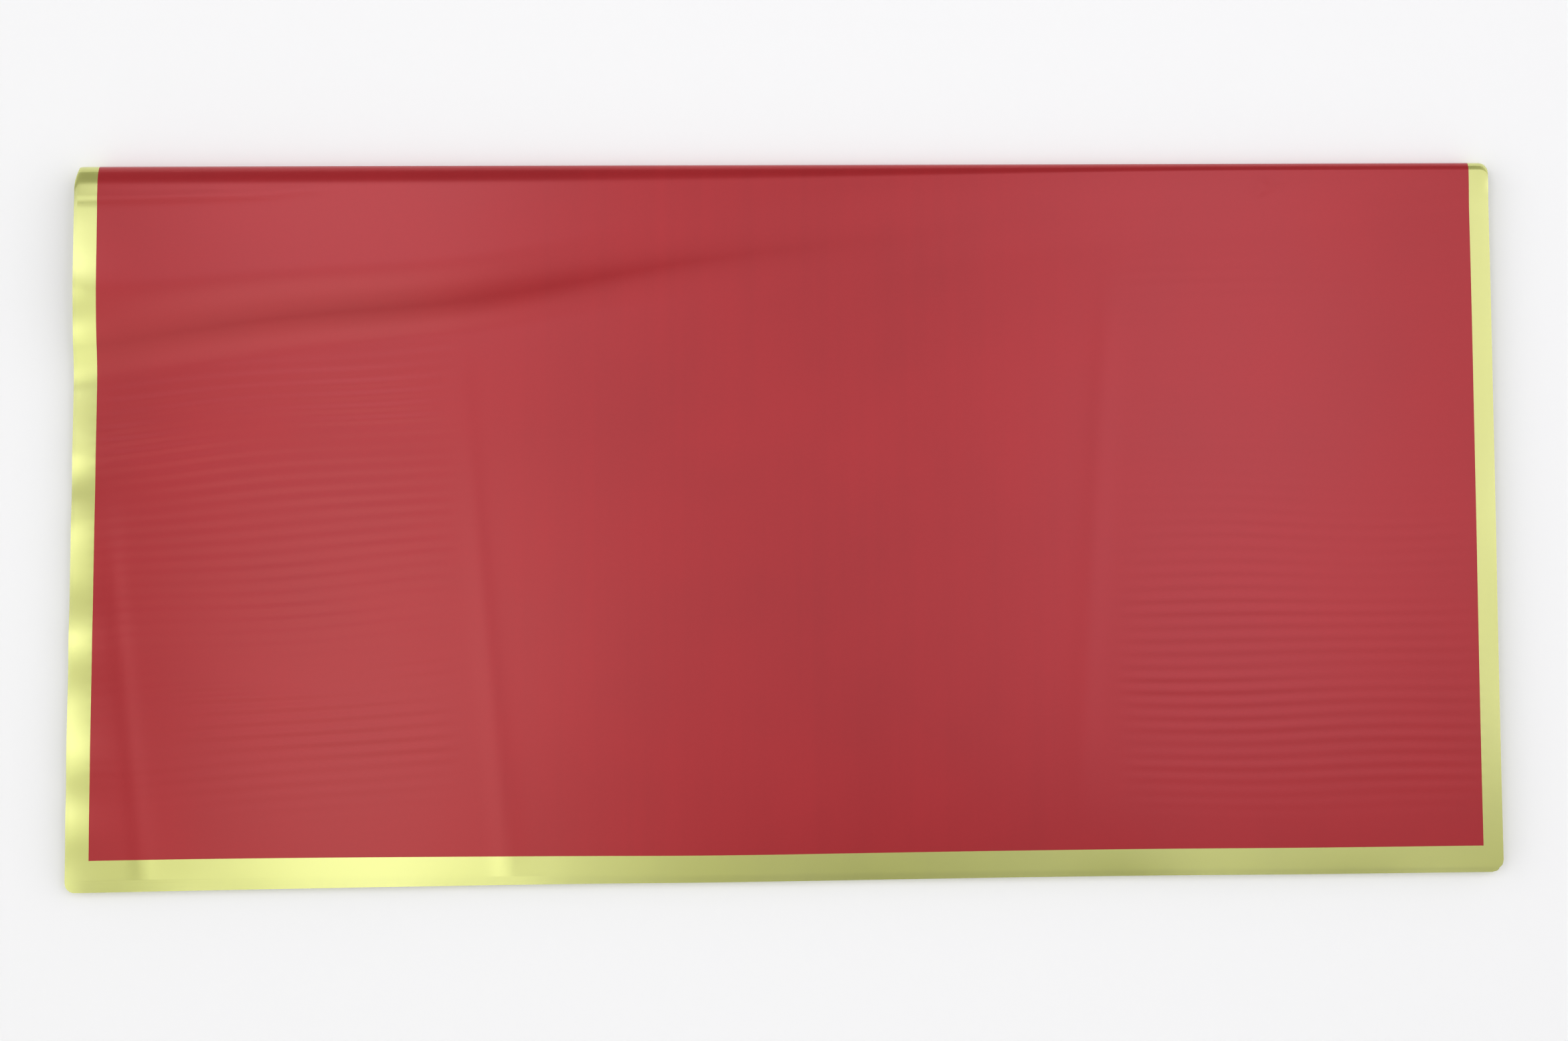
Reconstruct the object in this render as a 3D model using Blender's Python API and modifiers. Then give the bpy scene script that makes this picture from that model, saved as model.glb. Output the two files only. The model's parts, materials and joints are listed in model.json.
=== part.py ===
"""A pack of twenty square sheets of bouquet wrapping film, nested and folded in half.

Units are metres, +Z up. The pack lies on its outermost sheet, X runs along the fold and the fold is
on the +Y side. The origin is the middle of the underside.

Sheet 1 is the outermost: its lower leaf lies at the bottom and its upper leaf on top. Sheet 20 is the
innermost. A sheet is one piece of film. It is built as two flat leaves and the strip that bends
round the fold, so that the upper leaf can turn over on a hinge and open the pack flat.
"""

import math

import bmesh
import bpy
from mathutils import Matrix, Vector

# Driving dimensions
SHEETS = 20
SIDE = 0.580  # each sheet is square
BORDER = 0.008  # width of the printed gold frame
FILM = 0.00006  # thickness of one sheet
PITCH = 0.00015  # from one sheet to the next, with the air between them
INNER_BEND = 0.003  # radius of the innermost sheet's bend, to the middle of the film
LEAF_SPACE = 0.0006  # from that sheet's lower leaf to its upper leaf
FALL_REACH = 0.045  # length over which the film comes down from the bend to the upper leaves
DOME_SHARE = 0.7  # share of that length which is rounded like a dome, before it flattens out
RIDGE = 0.0035  # film taken up by the low ridge that stays where the fold is opened
DRIFT = 0.002  # how far the innermost sheet lies to the left of the outermost
NODE_GAP = 0.0003  # left between a leaf and its fold strip
BEND_STEPS = 16
FALL_STEPS = 4  # on the dome, and again where the film settles on the leaves

# Worked out from them. The film falls on two arcs that meet at FALL_ANGLE to the table. The first
# curves down and the second curves back, and their radii add up to FALL_RADII.
FALL_ANGLE = 2 * math.atan((2 * INNER_BEND - LEAF_SPACE) / FALL_REACH)
FALL_RADII = FALL_REACH / math.sin(FALL_ANGLE)
INNER_DOME = DOME_SHARE * FALL_RADII
INNER_SETTLE = FALL_RADII - INNER_DOME
INNER_LOWER_HEIGHT = FILM / 2 + (SHEETS - 1) * PITCH
INNER_UPPER_HEIGHT = INNER_LOWER_HEIGHT + LEAF_SPACE
BEND_HEIGHT = INNER_LOWER_HEIGHT + INNER_BEND

RED = (0.43, 0.054, 0.063, 1.0)
GOLD = (0.66, 0.62, 0.24, 1.0)


def depth(number):
    """How far a sheet lies outside the innermost one."""
    return (SHEETS - number) * PITCH


def strip_length(number):
    """Film that a sheet spends on its bend and on the fall to its upper leaf. The two arcs of the
    fall take the same length of every sheet."""
    return (INNER_BEND + depth(number)) * math.pi + FALL_RADII * FALL_ANGLE


def lower_length(number):
    """A sheet's two leaves end at the same place in front, one above the other."""
    return (SIDE - strip_length(number) + FALL_REACH) / 2


def upper_length(number):
    return lower_length(number) - FALL_REACH


def middle_x(number):
    """The sheets lie a little further to the left the deeper they are in the pack."""
    return DRIFT * (0.5 - (number - 1) / (SHEETS - 1))


def bend_y():
    """Where the bends have their common centre, with the whole pack centred on the origin."""
    back = INNER_BEND + depth(1) + FILM / 2
    return (lower_length(SHEETS) - back) / 2


def hinge_axis():
    """The line on which every upper leaf turns over. It is halfway between the closed pack's two
    halves, so the opened leaves come down level with the lower ones, and far enough behind the
    bend to leave room for the straightened film."""
    typical = (strip_length(1) + strip_length(SHEETS)) / 2
    beyond = (typical - FALL_REACH - RIDGE) / 2
    return Vector((0, bend_y() + beyond, INNER_LOWER_HEIGHT + LEAF_SPACE / 2))


def material(name, colour, roughness, metallic):
    made = bpy.data.materials.new(name)
    made.use_nodes = True
    shader = made.node_tree.nodes["Principled BSDF"]
    shader.inputs["Base Color"].default_value = colour
    shader.inputs["Roughness"].default_value = roughness
    shader.inputs["Metallic"].default_value = metallic
    return made


def film_object(name, bm, location):
    """An object of film from an open surface, which Solidify makes as thick as the film is."""
    mesh = bpy.data.meshes.new(name)
    bmesh.ops.recalc_face_normals(bm, faces=bm.faces)
    bm.to_mesh(mesh)
    bm.free()
    mesh.materials.append(bpy.data.materials["red_film"])
    mesh.materials.append(bpy.data.materials["gold_print"])
    made = bpy.data.objects.new(name, mesh)
    made.location = location
    bpy.data.collections["wrapping_sheet_pack"].objects.link(made)
    solidify = made.modifiers.new("film_thickness", "SOLIDIFY")
    solidify.thickness = FILM
    solidify.offset = 0
    return made


def split(bm, point, normal):
    """Cuts the faces along a plane, so that the printed frame has faces of its own."""
    everything = bm.verts[:] + bm.edges[:] + bm.faces[:]
    bmesh.ops.bisect_plane(bm, geom=everything, plane_co=point, plane_no=normal)


def leaf(name, length, fold_end):
    """A flat half of a sheet, from its fold end towards the front. Its gold frame runs along the
    front and both sides."""
    bm = bmesh.new()
    bmesh.ops.create_grid(bm, x_segments=1, y_segments=1, size=0.5)
    bmesh.ops.scale(bm, vec=(SIDE, length - NODE_GAP, 1), verts=bm.verts)
    bmesh.ops.translate(bm, vec=(0, -(length + NODE_GAP) / 2, 0), verts=bm.verts)
    inside_x = SIDE / 2 - BORDER
    inside_y = BORDER - length
    split(bm, (inside_x, 0, 0), (1, 0, 0))
    split(bm, (-inside_x, 0, 0), (1, 0, 0))
    split(bm, (0, inside_y, 0), (0, 1, 0))
    for face in bm.faces:
        middle = face.calc_center_median()
        face.material_index = int(abs(middle.x) > inside_x or middle.y < inside_y)
    return film_object(name, bm, fold_end)


def lower_leaf(number):
    height = INNER_LOWER_HEIGHT - depth(number)
    fold_end = Vector((middle_x(number), bend_y(), height))
    return leaf(f"sheet_{number:02d}_lower_leaf", lower_length(number), fold_end)


def upper_leaf(number, hinge):
    """Rides on the empty that stands on the hinge axis."""
    height = INNER_UPPER_HEIGHT + depth(number)
    fold_end = Vector((middle_x(number), bend_y() - FALL_REACH, height))
    made = leaf(f"sheet_{number:02d}_upper_leaf", upper_length(number), fold_end - hinge.location)
    made.parent = hinge
    return made


def turn(bm, row, centre, angle, steps):
    """Spins a row of points and its edges about a line along X, and returns the last row."""
    edges = [edge for edge in bm.edges if all(vert in row for vert in edge.verts)]
    spun = bmesh.ops.spin(
        bm,
        geom=row + edges,
        cent=centre,
        axis=(1, 0, 0),
        angle=angle,
        steps=steps,
    )
    return [item for item in spun["geom_last"] if isinstance(item, bmesh.types.BMVert)]


def fold_strip(number):
    """The film between a sheet's leaves: half a turn round the bend, over the dome, and back level
    on the leaves. Its place is measured from the bend's centre."""
    inside_x = SIDE / 2 - BORDER
    dome_centre = (0, 0, INNER_BEND - INNER_DOME)
    settle_centre = (0, -FALL_REACH, INNER_UPPER_HEIGHT + INNER_SETTLE - BEND_HEIGHT)
    bm = bmesh.new()
    start = -INNER_BEND - depth(number)
    row = [bm.verts.new((x, 0, start)) for x in (-SIDE / 2, -inside_x, inside_x, SIDE / 2)]
    for pair in zip(row, row[1:]):
        bm.edges.new(pair)
    row = turn(bm, row, (0, 0, 0), math.pi, BEND_STEPS)
    row = turn(bm, row, dome_centre, FALL_ANGLE, FALL_STEPS)
    turn(bm, row, settle_centre, -FALL_ANGLE, FALL_STEPS)
    for face in bm.faces:
        face.material_index = int(abs(face.calc_center_median().x) > inside_x)
        face.smooth = True
    centre = Vector((middle_x(number), bend_y(), BEND_HEIGHT))
    return film_object(f"sheet_{number:02d}_fold", bm, centre)


def clear_scene():
    for old in list(bpy.data.objects):
        bpy.data.objects.remove(old, do_unlink=True)


def build():
    clear_scene()
    pack = bpy.data.collections.new("wrapping_sheet_pack")
    bpy.context.scene.collection.children.link(pack)
    material("red_film", RED, 0.45, 0.0)
    material("gold_print", GOLD, 0.35, 0.6)
    hinge = bpy.data.objects.new("hinge_axis", None)
    hinge.location = hinge_axis()
    pack.objects.link(hinge)
    for number in range(1, SHEETS + 1):
        lower_leaf(number)
        fold_strip(number)
        upper_leaf(number, hinge)


build()
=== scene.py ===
"""A pack of twenty sheets of red wrapping film with a printed gold border, nested and folded in half.

Every sheet is one closed mesh of film. All of them follow one middle surface, half of them outside it
and half inside, so they lie on each other everywhere: on the table, round the fold, down the bulge
in front of it and out to the free edges. The middle surface carries the bulge and the broad
unevenness. The outermost and the innermost sheet, which are the ones that show, also carry the fine
creases and ripples, on the side where they have room for them.
"""

import json
import math
from collections import namedtuple

import bpy
import numpy as np
from mathutils import Matrix, Vector


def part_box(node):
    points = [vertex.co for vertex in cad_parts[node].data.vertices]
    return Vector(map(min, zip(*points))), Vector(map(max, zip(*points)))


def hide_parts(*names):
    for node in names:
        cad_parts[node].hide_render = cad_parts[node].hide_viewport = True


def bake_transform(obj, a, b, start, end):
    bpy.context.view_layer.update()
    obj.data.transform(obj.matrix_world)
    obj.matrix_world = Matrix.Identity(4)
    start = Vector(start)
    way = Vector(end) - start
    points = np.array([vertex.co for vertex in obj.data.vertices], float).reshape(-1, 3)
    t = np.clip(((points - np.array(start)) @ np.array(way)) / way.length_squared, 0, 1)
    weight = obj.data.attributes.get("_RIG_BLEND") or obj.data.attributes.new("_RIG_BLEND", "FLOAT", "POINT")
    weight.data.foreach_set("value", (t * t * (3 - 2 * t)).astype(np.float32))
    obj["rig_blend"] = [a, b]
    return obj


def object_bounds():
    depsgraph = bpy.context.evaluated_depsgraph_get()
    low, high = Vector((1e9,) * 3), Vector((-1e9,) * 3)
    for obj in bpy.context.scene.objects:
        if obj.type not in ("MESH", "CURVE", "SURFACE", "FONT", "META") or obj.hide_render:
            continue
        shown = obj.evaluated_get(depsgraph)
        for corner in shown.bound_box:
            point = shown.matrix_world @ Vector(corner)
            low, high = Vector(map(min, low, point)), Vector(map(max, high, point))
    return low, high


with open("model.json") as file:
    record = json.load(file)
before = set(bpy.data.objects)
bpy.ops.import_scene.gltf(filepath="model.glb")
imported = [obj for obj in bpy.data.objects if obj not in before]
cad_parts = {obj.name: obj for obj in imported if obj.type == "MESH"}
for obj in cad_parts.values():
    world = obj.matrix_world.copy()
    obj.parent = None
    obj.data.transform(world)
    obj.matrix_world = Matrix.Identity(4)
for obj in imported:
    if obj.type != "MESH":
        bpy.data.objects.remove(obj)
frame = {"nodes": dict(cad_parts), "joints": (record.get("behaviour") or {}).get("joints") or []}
cad_low, cad_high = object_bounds()

# ---------------------------------------------------------------- sizes read from the frame

SHEETS = sum(name.endswith("_fold") for name in frame["nodes"])


def node(number, part):
    return f"sheet_{number:02d}_{part}"


def height(number, part):
    low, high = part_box(node(number, part))
    return (low[2] + high[2]) / 2


outer_fold_low, outer_fold_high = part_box("sheet_01_fold")
SIDE = round(outer_fold_high[0] - outer_fold_low[0], 4)
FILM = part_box("sheet_01_lower_leaf")[1][2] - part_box("sheet_01_lower_leaf")[0][2]
PITCH = (height(SHEETS, "lower_leaf") - height(1, "lower_leaf")) / (SHEETS - 1)
LOWER = (height(1, "lower_leaf") + height(SHEETS, "lower_leaf")) / 2
UPPER = (height(1, "upper_leaf") + height(SHEETS, "upper_leaf")) / 2
OUTER_BEND = (outer_fold_high[2] - outer_fold_low[2] - FILM) / 2
BEND = OUTER_BEND - PITCH * (SHEETS - 1) / 2
BEND_Y = outer_fold_high[1] - OUTER_BEND - FILM / 2
HINGE_Y, HINGE_Z = frame["joints"][0]["pos_m"][1:]

# ---------------------------------------------------------------- driving dimensions of the looks

BORDER = 0.008  # width of the printed gold frame
RIM = np.array([0, 0.0004, 0.001, 0.002, 0.0033, 0.0053, BORDER])  # steps across the border
FOLD_CORNER = 0.0035  # radius that the fold's two ends are rounded to, seen from above
FRONT_CORNERS = (0.004, 0.0022)  # radius of the left and the right front corners

# The bulge in front of the bend. Its reach is REACH_MIDDLE + REACH_SKEW * x + REACH_CURVE * x * x,
# and a wave along the fold.
REACH_MIDDLE, REACH_SKEW, REACH_CURVE = 0.0475, -0.118, 0.06
REACH_WAVE, REACH_WAVE_LENGTH = 0.0012, 0.17
PLATEAU_SHARE = 0.5  # how much of the reach is level, at most
DOME_SHARE = 0.57  # of the bulge's slope, before it flattens out
DRAWN_OUT = 0.004  # how much longer than high the upper half of the bend is, on the left
FLATTENED = 0.0022  # how much smaller the bend's radius is at the pressed right end of the fold

RIDGE_HALF_WIDTH = 0.009  # of the ridge that is left where the fold has been opened
OPEN_LIFT = 0.0012  # keeps the hollows of an opened leaf off the table

# Relief: how high each kind is, and for waves also how long
BROAD_RISE, BROAD_LENGTH = 0.00014, 0.11
LEFT_CURL, LEFT_CURL_WAVES = 0.0006, 0.0007
EDGE_RISE = 0.00012
LYING_RISE = (-0.0002, 0.0003)  # how much of it the leaves on the table follow
RIPPLE_PITCH = 0.0052
RIPPLE_HEIGHT = 0.00007  # on the right
LEFT_RIPPLES = 1.6  # times as high on the left
PACKING_THIRD = 0.132  # the ripples lie outside the creases of the old packing

# How many rows of points each part of a sheet has, from its lower leaf to its upper one
Rows = namedtuple("Rows", "lower bend level dome settle upper")
HIDDEN_ROWS = Rows(46, 28, 10, 20, 14, 50)
OUTER_ROWS = Rows(46, 28, 26, 40, 22, 272)
INNER_ROWS = Rows(190, 28, 10, 20, 14, 190)

# ---------------------------------------------------------------- relief


def ease(value, low, high):
    """0 up to low, 1 from high on, and smooth in between."""
    t = np.clip((value - low) / (high - low), 0, 1)
    return t * t * (3 - 2 * t)


def reach(x):
    """How far in front of the bend the bulge comes down: far on the left, close on the right."""
    wave = REACH_WAVE * np.sin(2 * math.pi * x / REACH_WAVE_LENGTH)
    return REACH_MIDDLE + REACH_SKEW * x + REACH_CURVE * x * x + wave


def plateau(x):
    """How much of that is level: none on the right, where the bulge slopes from the fold on."""
    return PLATEAU_SHARE * ease(-x, -0.12, 0.16) * reach(x)


def drawn_out(x):
    """How much longer than high the upper half of the bend is, seen from its end."""
    return DRAWN_OUT * ease(-x, -0.2, 0.15)


def pressed(x):
    """How much the bend's radius shrinks along the fold. Its back stays on one line."""
    return FLATTENED * ease(x, -0.3, 0.25)


def waves(x, y, seed, length, count=9):
    """Gentle unevenness between -1 and 1, of about one wavelength, the same on each run."""
    chance = np.random.RandomState(seed)
    total = 0
    for _ in range(count):
        heading, start = chance.uniform(0, math.pi), chance.uniform(0, 2 * math.pi)
        size = length * chance.uniform(0.7, 1.5)
        along = x * math.cos(heading) + y * math.sin(heading)
        total = total + np.sin(2 * math.pi * along / size + start)
    return total / count


def crease(x, y, start, end, width, rise, fade=0.03):
    """A soft raised line."""
    run = np.array(end) - np.array(start)
    length = math.hypot(*run)
    run = run / length
    along = (x - start[0]) * run[0] + (y - start[1]) * run[1]
    off = (x - start[0]) * run[1] - (y - start[1]) * run[0]
    ends = ease(along, -fade, fade) * ease(length - along, -fade, fade)
    return rise * ends * np.exp(-((off / width) ** 2))


def unevenness(x, y):
    """Relief that every sheet shares, above or below its flat place."""
    broad = BROAD_RISE * waves(x, y, 3, BROAD_LENGTH)
    left_curl = LEFT_CURL + LEFT_CURL_WAVES * waves(0 * x, y, 8, 0.034, 6)
    left = np.exp(-(x + SIDE / 2) / 0.011) * left_curl
    right = np.exp((x - SIDE / 2) / 0.008) * (1.8 + waves(0 * x, y, 15, 0.08, 4))
    front = np.exp(-(y - cad_low[1]) / 0.008) * waves(x, 0 * y, 21, 0.07, 5)
    return broad + left + EDGE_RISE * right + EDGE_RISE * front


def lower_relief(x, y):
    """The lower leaves lie on the table, so they only follow a part of it."""
    return 0.0001 + 0.5 * np.clip(unevenness(x, y), *LYING_RISE)


def packing_creases(x, y):
    """Where the pack was once folded in three for shipping."""
    left = crease(x, y, (-0.134, 0.066), (-0.112, -0.16), 0.0042, 0.00016)
    right = crease(x, y, (0.133, 0.088), (0.118, -0.11), 0.005, 0.00014)
    edge = crease(x, y, (-0.2765, 0.0), (-0.2585, -0.16), 0.0035, 0.0001)
    return left + right + edge


def fold_creases(x, y):
    """Small marks of handling close to the fold."""
    left = crease(x, y, (-0.31, 0.1305), (-0.222, 0.1325), 0.0019, 0.00026, 0.012)
    left_end = crease(x, y, (-0.218, 0.1315), (-0.188, 0.1372), 0.0013, 0.00024, 0.008)
    dent = crease(x, y, (0.1985, 0.1395), (0.1945, 0.1318), 0.0013, 0.00022, 0.003)
    dent_side = crease(x, y, (0.1945, 0.1318), (0.2045, 0.1362), 0.0012, 0.00014, 0.004)
    return left + left_end + dent + dent_side


def ripples(x, y):
    """Close ripples on the two outer thirds, left by the packing: level ones on the right, and
    slanting ones on the left."""
    wander = 0.0024 * waves(x, y, 5, 0.11) + 0.07 * np.minimum(x + PACKING_THIRD, 0)
    uneven = 0.65 + 0.25 * waves(x, y, 6, 0.07) + 0.6 * waves(0.1 * x, y + wander, 9, 0.021, 5)
    clear = ease(BEND_Y - reach(x) - y, -0.01, 0.012) * ease(y - cad_low[1], 0.012, 0.06)
    thirds = ease(np.abs(x), PACKING_THIRD, PACKING_THIRD + 0.012)
    sides = ease(SIDE / 2 - np.abs(x), 0.006, 0.018)
    swing = 0.5 + 0.5 * np.sin(2 * math.pi * (y - wander) / RIPPLE_PITCH)
    height = np.where(x < 0, LEFT_RIPPLES * RIPPLE_HEIGHT, RIPPLE_HEIGHT)
    return height * thirds * clear * sides * np.clip(uneven, 0, 1.2) * swing


def fine_relief(x, y):
    return packing_creases(x, y) + fold_creases(x, y) + ripples(x, y)


# ---------------------------------------------------------------- the folded middle surface


def trace(offset, lower, x, rows):
    """Rows of points (y, z), their normals, and the length of film up to them, for the sheet at
    some distance outside the middle surface. lower is the length of its lower leaf at each x. The
    sheets are parallel, so a sheet's film is longer than the middle surface by its offset times
    the angle that it has turned round from lying face down."""
    bend, longer = BEND - pressed(x), drawn_out(x)
    bend_y = BEND_Y + pressed(x)
    top = LOWER + 2 * bend
    level = np.maximum(plateau(x) - longer, 0)
    slope = reach(x) - longer - level
    angle = 2 * np.arctan((top - UPPER) / slope)
    radii = slope / np.sin(angle)
    dome, settle = DOME_SHARE * radii, (1 - DOME_SHARE) * radii
    made = []

    def add(y, z, turn, length):
        made.append(np.stack(np.broadcast_arrays(y, z, turn, length)))
        return length[-1:]

    def steps(count, first=1):
        return np.arange(first, count + 1)[:, None] / count

    length = np.concatenate([RIM[:-1, None] + 0 * x, BORDER + (lower - BORDER) * steps(rows.lower, 0)])
    used = add(bend_y - lower + length, LOWER + 0 * length, 0 * length, length)
    t = steps(rows.bend // 2) * math.pi / 2 + 0 * x
    used = add(bend_y + bend * np.sin(t), LOWER + bend - bend * np.cos(t), t, used + bend * t)
    t = steps(rows.bend // 2, 0) * math.pi / 2 + math.pi / 2 + 0 * x
    y = bend_y + bend * np.sin(t) - longer * (1 - np.sin(t))
    z = LOWER + bend - bend * np.cos(t)
    turn = np.arctan2(bend * np.sin(t), (bend + longer) * np.cos(t))
    length = used + np.cumsum(np.hypot(np.diff(y, axis=0), np.diff(z, axis=0)), axis=0)
    used = add(y[1:], z[1:], turn[1:], length)
    t = level * steps(rows.level)
    used = add(bend_y - longer - t, top + 0 * t, math.pi + 0 * t, used + t)
    t = steps(rows.dome) * angle
    y = bend_y - longer - level - dome * np.sin(t)
    used = add(y, top - dome + dome * np.cos(t), math.pi + t, used + dome * t)
    t = (1 - steps(rows.settle)) * angle
    y = bend_y - reach(x) + settle * np.sin(t)
    used = add(y, UPPER + settle - settle * np.cos(t), math.pi + t, used + settle * (angle - t))
    used = used + offset * math.pi
    rim = SIDE - RIM[-2::-1, None] + 0 * x
    length = np.concatenate([used + (SIDE - BORDER - used) * steps(rows.upper), rim])
    add(bend_y - reach(x) - length + used, UPPER + 0 * length, math.pi + 0 * length, length)

    y, z, turn, length = np.concatenate(made, axis=1)
    before_leaf = np.arange(len(y))[:, None] < len(y) - rows.upper - len(rim)
    length = length + np.where(before_leaf, offset * turn, 0)
    normal_y, normal_z = np.sin(turn), -np.cos(turn)
    return y + offset * normal_y, z + offset * normal_z, normal_y, normal_z, length


def rounding(from_end, radius):
    """How far a corner's outline steps back, at some distance from the end of the edge."""
    t = np.clip(1 - from_end / radius, 0, 1)
    return radius * (1 - np.sqrt(1 - t * t))


def round_corners(x, y, length, middle_x):
    """Seen from above, the fold's ends and the front corners aren't quite sharp."""
    fold_end = rounding(cad_high[0] + 0.0003 - np.abs(x), FOLD_CORNER)
    y = y - fold_end * ease(y, BEND_Y - 0.01, BEND_Y + 0.004)
    left = rounding(x - middle_x + SIDE / 2, FRONT_CORNERS[0])
    right = rounding(middle_x + SIDE / 2 - x, FRONT_CORNERS[1])
    from_front = np.minimum(length, SIDE - length)
    return y + (left + right) * (1 - ease(from_front, 0, BORDER))


def add_relief(x, y, z, rows, fine=None):
    """Raises and sinks the lower leaf and the upper one, and leaves the bend round. fine gives how
    much of the fine relief the lower and the upper leaf carry."""
    low, high = slice(0, lower_count(rows)), slice(lower_count(rows) + rows.bend, None)
    z = z.copy()
    near_low, near_high = ease(BEND_Y - y[low], 0.002, 0.02), ease(BEND_Y - y[high], 0.0, 0.012)
    z[low] += lower_relief(x[low], y[low]) * near_low
    z[high] += unevenness(x[high], y[high]) * near_high
    if fine:
        z[low] += fine[0] * fine_relief(x[low], y[low]) * near_low
        z[high] += fine[1] * fine_relief(x[high], y[high]) * ease(BEND_Y - y[high], -0.001, 0.004)
    return z


def lower_count(rows):
    return len(RIM) + rows.lower


def share_of_turn(x, y, z, rows):
    """What part of the leaf's turn each point of the middle surface makes, so that the closed fold
    opens into flat film with a low ridge. A point can only move on a circle round the hinge, so
    its share is read from where that circle meets the opened shape."""
    away = np.hypot(HINGE_Y - y, z - HINGE_Z)
    start = np.arctan2(z - HINGE_Z, HINGE_Y - y)
    back, up = HINGE_Y - BEND_Y - pressed(x), LOWER + BEND - pressed(x) - HINGE_Z
    nearest = np.hypot(back, up) - BEND + pressed(x)
    across = np.linspace(0, RIDGE_HALF_WIDTH, 400)
    rise = np.cos(math.pi / 2 * across / RIDGE_HALF_WIDTH) ** 2
    flank = -np.arcsin(np.clip((HINGE_Z - LOWER) / away, -1, 1))
    flat_from = math.hypot(RIDGE_HALF_WIDTH, HINGE_Z - LOWER)
    for column, top in enumerate(HINGE_Z + nearest[0] - LOWER):
        profile = LOWER - HINGE_Z + top * rise
        on_ridge = np.interp(away[:, column], np.hypot(across, profile), np.arctan2(profile, across))
        flank[:, column] = np.where(away[:, column] > flat_from, flank[:, column], on_ridge)
    closest = lower_count(rows) + np.ceil(np.arctan2(back, up) / math.pi * rows.bend) - 1
    lift = OPEN_LIFT * ease(away, RIDGE_HALF_WIDTH, 4 * RIDGE_HALF_WIDTH) / away
    row = np.arange(len(y))[:, None]
    share = np.where(row < closest, flank - start, math.pi - flank - lift - start) / math.pi
    lying = (row < lower_count(rows)) & (away > flat_from)
    return np.clip(np.where(lying, 0, share), 0, 1)


# ---------------------------------------------------------------- materials


def add_node(tree, kind, inputs=None, **settings):
    """A new node. Each of its inputs is a value or another node's output."""
    made = tree.nodes.new(kind)
    for name, value in settings.items():
        setattr(made, name, value)
    for key, value in (inputs or {}).items():
        if isinstance(value, bpy.types.NodeSocket):
            tree.links.new(value, made.inputs[key])
        else:
            made.inputs[key].default_value = value
    return made


def math_step(tree, operation, *values):
    return add_node(tree, "ShaderNodeMath", dict(enumerate(values)), operation=operation).outputs[0]


def noise(tree, place, scale, detail=2.0):
    inputs = {"Vector": place, "Scale": scale, "Detail": detail}
    return add_node(tree, "ShaderNodeTexNoise", inputs).outputs["Fac"]


def film_material(name, colour, metallic, roughness, coat, coat_ior, brushing):
    """Satin film. Its colour and gloss are a little cloudy, and it has a fine grain, faint brushed
    lines down its middle third and a few specks of dust. The renderer's denoiser treats a roughness
    above 0.27 unlike one below it, so neither material's roughness crosses that."""
    made = bpy.data.materials.new(name)
    made.use_nodes = True
    tree = made.node_tree
    shader = tree.nodes["Principled BSDF"]
    place = add_node(tree, "ShaderNodeUVMap", uv_map="sheet").outputs[0]
    stretched = {"Vector": place, "Scale": (170, 4, 1)}
    brushed_place = add_node(tree, "ShaderNodeMapping", stretched).outputs[0]
    cloud = noise(tree, place, 14, 3.0)
    grain = noise(tree, place, 620, 1.0)
    brushed = noise(tree, brushed_place, 1.0)

    u = add_node(tree, "ShaderNodeSeparateXYZ", {0: place}).outputs[0]
    from_middle = math_step(tree, "ABSOLUTE", math_step(tree, "SUBTRACT", u, SIDE / 2))
    middle = add_node(
        tree,
        "ShaderNodeMapRange",
        {0: from_middle, 1: PACKING_THIRD, 2: PACKING_THIRD - 0.03, 3: 0.25, 4: 1.0},
    ).outputs[0]
    lines = math_step(tree, "MULTIPLY", math_step(tree, "SUBTRACT", brushed, 0.5), middle)
    lines = math_step(tree, "MULTIPLY", lines, brushing)

    cloudiness = math_step(tree, "SUBTRACT", cloud, 0.5)
    tone = math_step(tree, "MULTIPLY_ADD", cloudiness, 0.22, 1.0)
    tone = math_step(tree, "MULTIPLY_ADD", lines, 0.1, tone)
    graininess = math_step(tree, "SUBTRACT", grain, 0.5)
    tone = math_step(tree, "MULTIPLY_ADD", graininess, 0.06, tone)
    toned = {0: colour, "Scale": tone}
    tinted = add_node(tree, "ShaderNodeVectorMath", toned, operation="SCALE").outputs[0]
    spots = {"Vector": place, "Scale": 9.0}
    speck = add_node(tree, "ShaderNodeTexVoronoi", spots).outputs["Distance"]
    dust = math_step(tree, "LESS_THAN", speck, 0.0032)
    dusty = add_node(tree, "ShaderNodeMix", data_type="RGBA")
    tree.links.new(dust, dusty.inputs["Factor"])
    tree.links.new(tinted, dusty.inputs["A"])
    dusty.inputs["B"].default_value = (0.75, 0.66, 0.6, 1)
    tree.links.new(dusty.outputs["Result"], shader.inputs["Base Color"])

    gloss = math_step(tree, "MULTIPLY_ADD", cloudiness, 0.07, roughness)
    gloss = math_step(tree, "MULTIPLY_ADD", lines, 0.03, gloss)
    tree.links.new(gloss, shader.inputs["Roughness"])
    bump = add_node(tree, "ShaderNodeBump", {"Height": grain, "Strength": 0.06, "Distance": 0.00002})
    tree.links.new(bump.outputs[0], shader.inputs["Normal"])
    shader.inputs["Metallic"].default_value = metallic
    shader.inputs["Coat Weight"].default_value = coat
    shader.inputs["Coat IOR"].default_value = coat_ior
    shader.inputs["Coat Roughness"].default_value = 0.22
    return made


# ---------------------------------------------------------------- sheets


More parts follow.
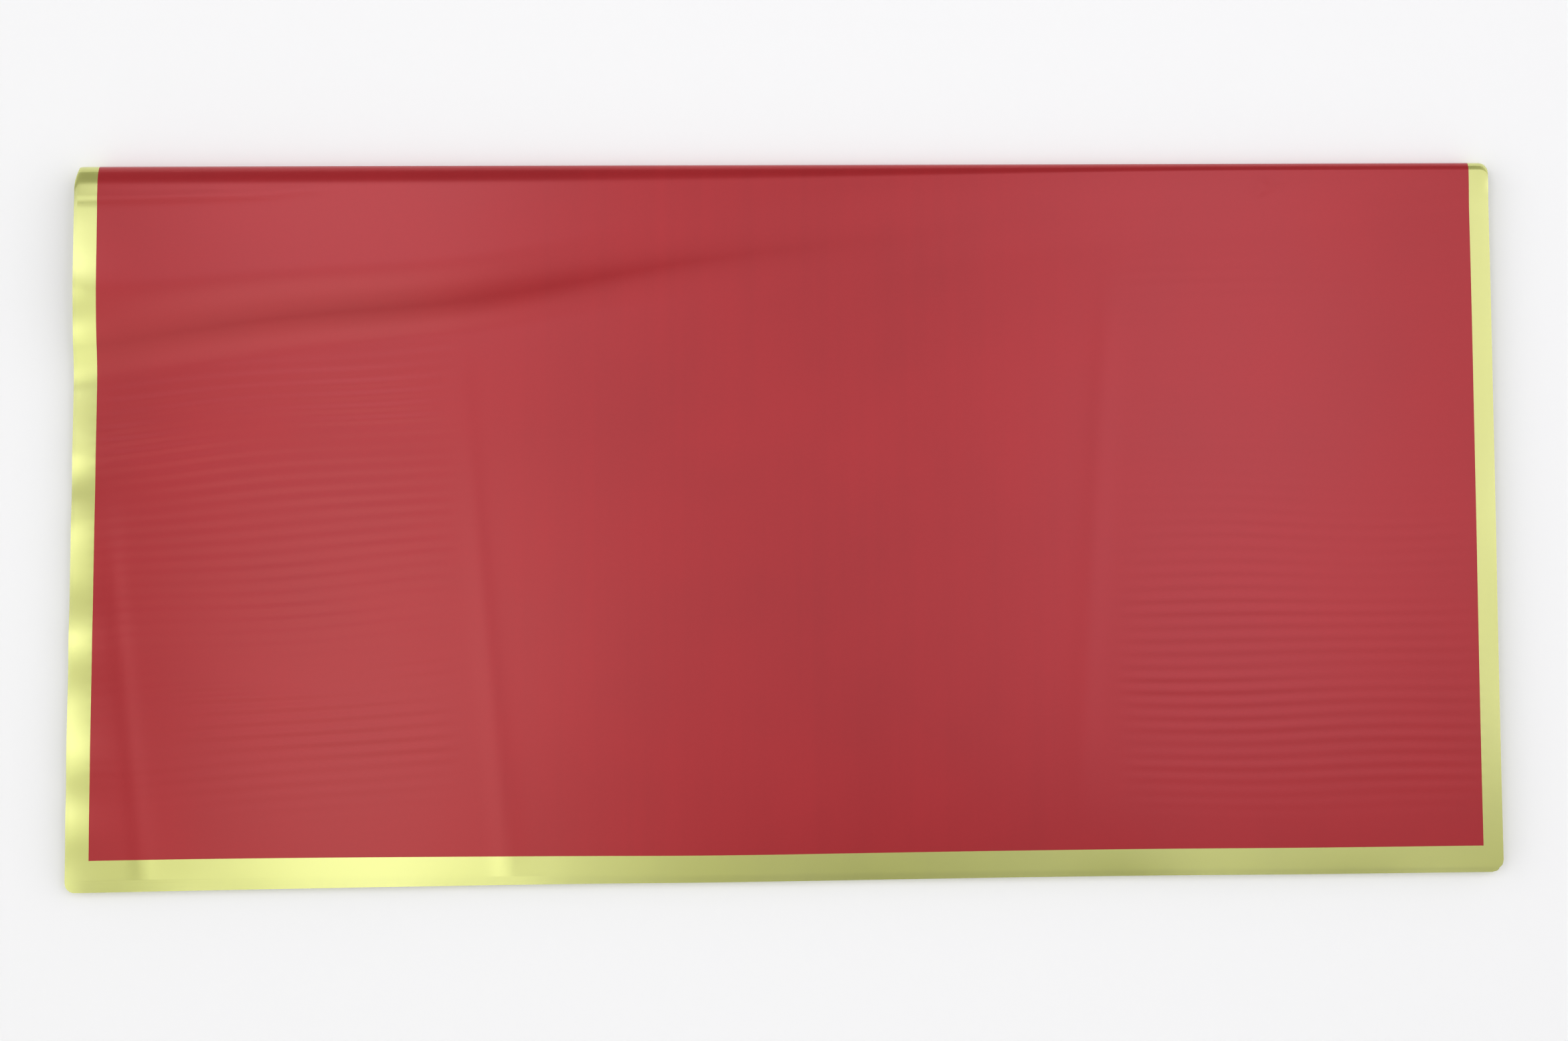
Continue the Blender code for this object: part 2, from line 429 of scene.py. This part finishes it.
def film_mesh(name, x, y, z, ny, nz, across, length):
    """A closed mesh of film from one grid of points: two faces and a rim of its own. The second
    material is for the printed frame."""
    rows, columns = y.shape
    count = rows * columns
    middle = np.stack([x, y, z], axis=-1)
    normal = np.stack([np.zeros_like(y), ny, nz], axis=-1)
    outside = (middle + normal * FILM / 2).reshape(-1, 3)
    inside = (middle - normal * FILM / 2).reshape(-1, 3)
    points = np.concatenate([outside, inside])
    index = np.arange(count).reshape(rows, columns)
    a, b, c, d = index[:-1, :-1], index[:-1, 1:], index[1:, 1:], index[1:, :-1]
    front = np.stack([a, d, c, b], axis=-1).reshape(-1, 4)
    back = np.stack([a, b, c, d], axis=-1).reshape(-1, 4) + count
    ring = np.concatenate([index[0, :-1], index[:-1, -1], index[-1, :0:-1], index[:0:-1, 0]])
    following = np.roll(ring, -1)
    rim = np.stack([ring, following, following + count, ring + count], axis=-1)
    faces = np.concatenate([front, back, rim])

    mesh = bpy.data.meshes.new(name)
    mesh.vertices.add(len(points))
    mesh.vertices.foreach_set("co", points.astype(np.float32).ravel())
    mesh.loops.add(faces.size)
    mesh.loops.foreach_set("vertex_index", faces.ravel().astype(np.int32))
    mesh.polygons.add(len(faces))
    mesh.polygons.foreach_set("loop_start", np.arange(0, faces.size, 4, dtype=np.int32))
    mesh.update(calc_edges=True)
    mesh.polygons.foreach_set("use_smooth", np.ones(len(faces), bool))

    flat = np.stack([across, length], axis=-1).reshape(-1, 2)
    flat = np.concatenate([flat, flat])
    layer = mesh.uv_layers.new(name="sheet")
    layer.data.foreach_set("uv", flat[faces.ravel()].astype(np.float32).ravel())
    centre = flat[faces].mean(axis=1)
    printed = np.minimum(centre, SIDE - centre).min(axis=1) < BORDER
    mesh.polygons.foreach_set("material_index", printed.astype(np.int32))

    on_rim = np.zeros(len(points), bool)
    on_rim[ring] = True
    on_rim[ring + count] = True
    ends = np.zeros(len(mesh.edges) * 2, np.int32)
    mesh.edges.foreach_get("vertices", ends)
    sharp = mesh.attributes.new("sharp_edge", "BOOLEAN", "EDGE")
    sharp.data.foreach_set("value", on_rim[ends.reshape(-1, 2)].all(axis=1))
    mesh.validate()
    return mesh


def column_places(count, closer=()):
    """Places along a sheet's width, closer together near some of them. The border keeps its own."""
    inside = SIDE / 2 - BORDER
    fine = np.linspace(-inside, inside, 2001)
    density = 1 + sum((3.5 * np.exp(-(((fine - place) / 0.012) ** 2)) for place in closer), 0 * fine)
    along = np.concatenate([[0], np.cumsum((density[1:] + density[:-1]) / 2)])
    between = np.interp(np.linspace(0, along[-1], count + 1), along, fine)
    return np.concatenate([RIM[:-1] - SIDE / 2, between, SIDE / 2 - RIM[-2::-1]])


def slide(number, x):
    """How much further than its even share a sheet's upper leaf comes forward, at the cost of its
    lower leaf. The pack was folded a little out of square on the left, its outer sheets have slid
    forward, and no two sheets are laid quite alike."""
    chance = np.random.RandomState(40 + number)
    shift, skew = chance.uniform(-0.00025, 0.00025), chance.uniform(-0.0003, 0.0003)
    outer = (SHEETS - number) / (SHEETS - 1)
    leftwards = -x - 0.08
    askew = 0.0125 * (leftwards + np.hypot(leftwards, 0.03)) / 2
    askew = askew + 0.0021 * ease(-x, -0.17, 0.06)
    askew = askew + 0.0006 * ease(x, 0, 0.17) - 0.0003 * ease(x, 0.2, 0.29)
    drawn = outer * (0.0017 - 0.0022 * ease(-x, 0, 0.29) + 0.0003 * ease(x, 0, 0.29))
    return askew + drawn + (0.3 + 0.7 * outer) * (shift + skew * x / (SIDE / 2))


def lean(y, length):
    """How far an upper leaf's points lie to the left, more so towards the front."""
    return np.where(length > SIDE / 2, 0.0013 * ease(BEND_Y - y, 0.02, 0.28), 0)


def sheet(number, materials):
    """One sheet of film, from the front edge of its lower leaf round to that of its upper leaf."""
    if number == 1:
        rows, places, fine = OUTER_ROWS, column_places(88, (-0.268, -0.124, 0.126, 0.197)), (0, 1)
    elif number == SHEETS:
        rows, places, fine = INNER_ROWS, column_places(78, (-0.268, -0.124, 0.126)), (1, -1)
    else:
        rows, places, fine = HIDDEN_ROWS, column_places(66), None
    low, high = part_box(node(number, "lower_leaf"))
    middle_x = (low[0] + high[0]) / 2
    x = places[None, :] + middle_x
    offset = ((SHEETS + 1) / 2 - number) * PITCH
    given_back = 1.7 * pressed(x)  # film that the smaller bend leaves over
    lower = BEND_Y - low[1] + given_back - slide(number, x)
    y, z, ny, nz, length = trace(offset, lower, x, rows)
    y = round_corners(x, y, length, middle_x)
    wide = x - lean(y, length)
    z = add_relief(wide, y, z, rows, fine)
    mid_y, mid_z, _, _, length_at = trace(0, lower, x, rows)
    mid_y = round_corners(x, mid_y, length_at, middle_x)
    mid_z = add_relief(x - lean(mid_y, length_at), mid_y, mid_z, rows)
    share = share_of_turn(x, mid_y, mid_z, rows)

    across = np.broadcast_to(places + SIDE / 2, y.shape)
    mesh = film_mesh(f"sheet_{number:02d}", wide - middle_x, y, z, ny, nz, across, length)
    for material in materials:
        mesh.materials.append(material)
    piece = bpy.data.objects.new(f"sheet_{number:02d}_film", mesh)
    bpy.context.scene.collection.objects.link(piece)
    piece.location.x = middle_x
    start, end = (0, BEND_Y, LOWER), (0, BEND_Y, UPPER)
    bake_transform(piece, "lower_pack", f"upper_leaf_{number:02d}", start=start, end=end)
    turn = piece.data.attributes["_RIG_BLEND"]
    turn.data.foreach_set("value", np.tile(share.ravel(), 2).astype(np.float32))
    parts = [node(number, part) for part in ("lower_leaf", "fold", "upper_leaf")]
    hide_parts(*parts)


film = film_material(
    "red_film",
    colour=(0.44, 0.0095, 0.0155),
    metallic=0.34,
    roughness=0.315,
    coat=0.45,
    coat_ior=1.5,
    brushing=1.0,
)
print_gold = film_material(
    "gold_print",
    colour=(0.62, 0.65, 0.045),
    metallic=0.72,
    roughness=0.23,
    coat=1.0,
    coat_ior=2.8,
    brushing=0.0,
)
for number in range(1, SHEETS + 1):
    sheet(number, (film, print_gold))

# ---------------------------------------------------------------- studio


def sweep():
    """The table, whose far edge curves up into a wall all round."""
    flat_radius, bend_radius, wall = 2.4, 0.6, 0.3
    bend_steps, sides = 12, 96
    profile = [(0.0, 0.0), (0.8, 0.0), (1.6, 0.0), (flat_radius, 0.0)]
    for step in range(1, bend_steps + 1):
        turned = math.pi / 2 * step / bend_steps
        out = flat_radius + bend_radius * math.sin(turned)
        profile.append((out, bend_radius * (1 - math.cos(turned))))
    profile.append((flat_radius + bend_radius, bend_radius + wall))
    points, faces = [], []
    for radius, up in profile:
        for side in range(sides):
            angle = 2 * math.pi * side / sides
            points.append((radius * math.cos(angle), radius * math.sin(angle), up))
    for ring in range(len(profile) - 1):
        for side in range(sides):
            following = (side + 1) % sides
            low, high = ring * sides, (ring + 1) * sides
            faces.append((low + side, high + side, high + following, low + following))
    mesh = bpy.data.meshes.new("white_sweep")
    mesh.from_pydata(points, [], faces)
    mesh.shade_smooth()
    paint = bpy.data.materials.new("white_paint")
    paint.use_nodes = True
    shader = paint.node_tree.nodes["Principled BSDF"]
    shader.inputs["Base Color"].default_value = (0.97, 0.97, 0.97, 1)
    shader.inputs["Roughness"].default_value = 0.9
    shader.inputs["Emission Color"].default_value = (1, 1, 1, 1)
    shader.inputs["Emission Strength"].default_value = 0.13
    mesh.materials.append(paint)
    made = bpy.data.objects.new("white_sweep", mesh)
    made.location.z = -0.0002
    bpy.context.scene.collection.objects.link(made)


def softbox(name, place, size, brightness, colour):
    """A rectangle of light above the pack, facing down. brightness is that of its surface."""
    light = bpy.data.lights.new(name, "AREA")
    light.shape = "RECTANGLE"
    light.size, light.size_y = size
    light.energy = brightness * math.pi * size[0] * size[1]
    light.color = colour
    made = bpy.data.objects.new(name, light)
    made.location = place
    bpy.context.scene.collection.objects.link(made)


def room_light():
    """Light from all round, bright on the left and the right side and dim above and in front."""
    dimmest, added_sideways = 0.26, 1.6
    world = bpy.data.worlds.new("studio")
    world.use_nodes = True
    tree = world.node_tree
    facing = add_node(tree, "ShaderNodeTexCoord").outputs["Generated"]
    sideways = add_node(tree, "ShaderNodeSeparateXYZ", {0: facing}).outputs[0]
    square = math_step(tree, "MULTIPLY", sideways, sideways)
    strength = math_step(tree, "MULTIPLY_ADD", square, added_sideways, dimmest)
    tree.links.new(strength, tree.nodes["Background"].inputs["Strength"])
    tree.nodes["Background"].inputs["Color"].default_value = (1, 1, 1, 1)
    bpy.context.scene.world = world


def camera():
    """Almost straight above the pack, a little to the front and left."""
    made = bpy.data.objects.new("camera", bpy.data.cameras.new("camera"))
    azimuth, elevation, roll = math.radians(-12.9), math.radians(85.0), math.radians(-0.44)
    distance, aimed_at = 1.2, Vector((-0.0013, -0.0015, 0))
    away = Vector((
        math.sin(azimuth) * math.cos(elevation),
        -math.cos(azimuth) * math.cos(elevation),
        math.sin(elevation),
    ))
    made.location = distance * away + aimed_at
    right = Vector((0, 1, 0)).cross(away).normalized()
    upright = Matrix((right, away.cross(right), away)).transposed()
    made.rotation_euler = (upright @ Matrix.Rotation(roll, 3, "Z")).to_euler()
    made.data.lens = 67.15
    made.data.sensor_width = 36
    bpy.context.scene.collection.objects.link(made)
    bpy.context.scene.camera = made


sweep()
softbox("ceiling_softbox", (0.22, 0.23, 1.21), (1.36, 0.7), 0.6, (1.0, 0.97, 1.04))
softbox("back_softbox", (-0.35, 0.47, 1.2), (0.36, 0.4), 1.4, (1.0, 0.99, 1.06))
softbox("left_softbox", (-0.32, -0.17, 1.2), (0.27, 0.6), 1.45, (1.0, 1.0, 0.92))
softbox("right_softbox", (0.385, 0.24, 1.2), (0.25, 0.76), 0.82, (0.97, 0.95, 1.12))
room_light()
bpy.context.scene.view_settings.view_transform = "Standard"
camera()
